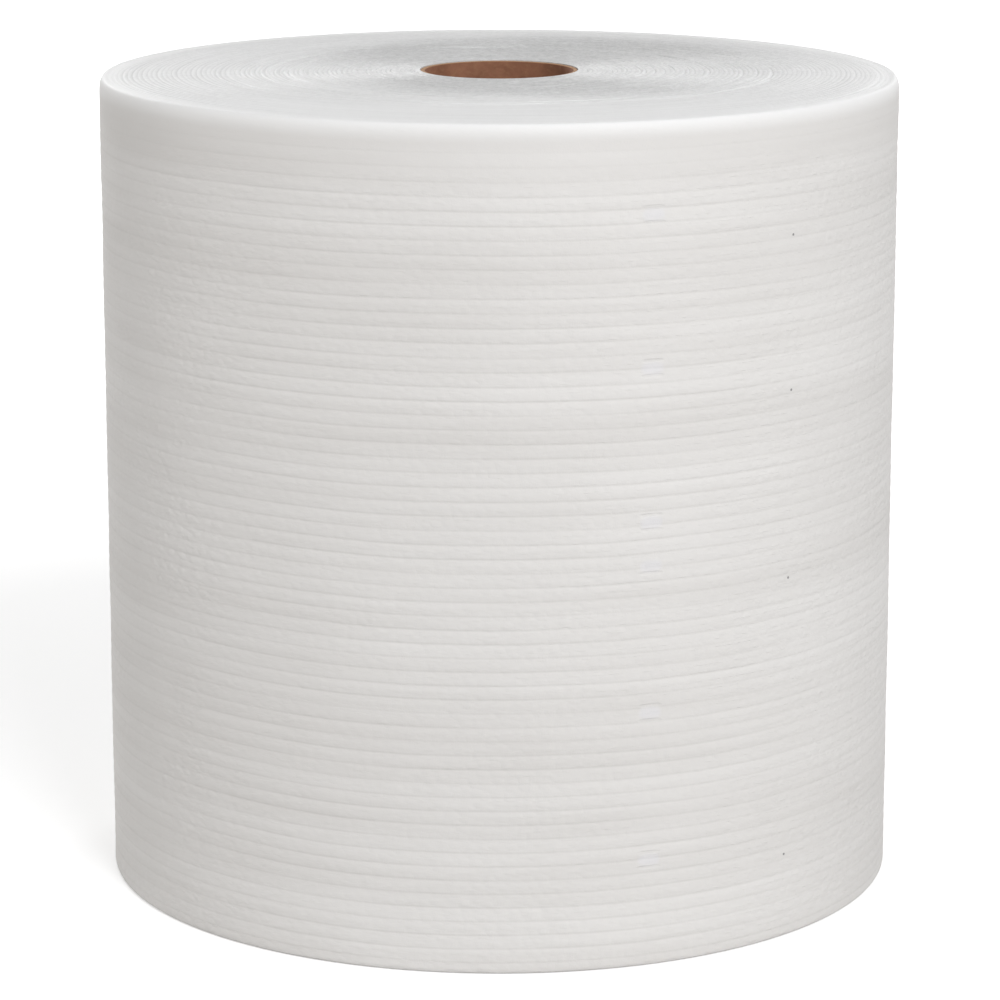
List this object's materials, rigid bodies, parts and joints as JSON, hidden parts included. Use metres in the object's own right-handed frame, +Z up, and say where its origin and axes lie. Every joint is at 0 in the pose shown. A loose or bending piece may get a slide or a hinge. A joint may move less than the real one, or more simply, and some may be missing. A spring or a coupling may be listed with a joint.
{
  "type": "roll of cleaning wipers",
  "caption": "Jumbo roll of white ribbed nonwoven cleaning wipers, wound on an open cardboard core and standing on its end.",
  "frame": {"origin": "on the roll's axis at the level of its base", "axes": "+Z up along the roll's axis; -Y towards the side that the picture shows; +X to the right of that view"},
  "size_m": [0.3119, 0.312, 0.318],
  "materials": {
    "nonwoven_web": "white soft nonwoven, matt, with pressed ribs and small dimples",
    "core_board": "brown spiral-wound board, matt"
  },
  "bodies": {
    "root": {"wound_wipers": "nonwoven_web", "core_tube": "core_board"}
  },
  "joints": []
}
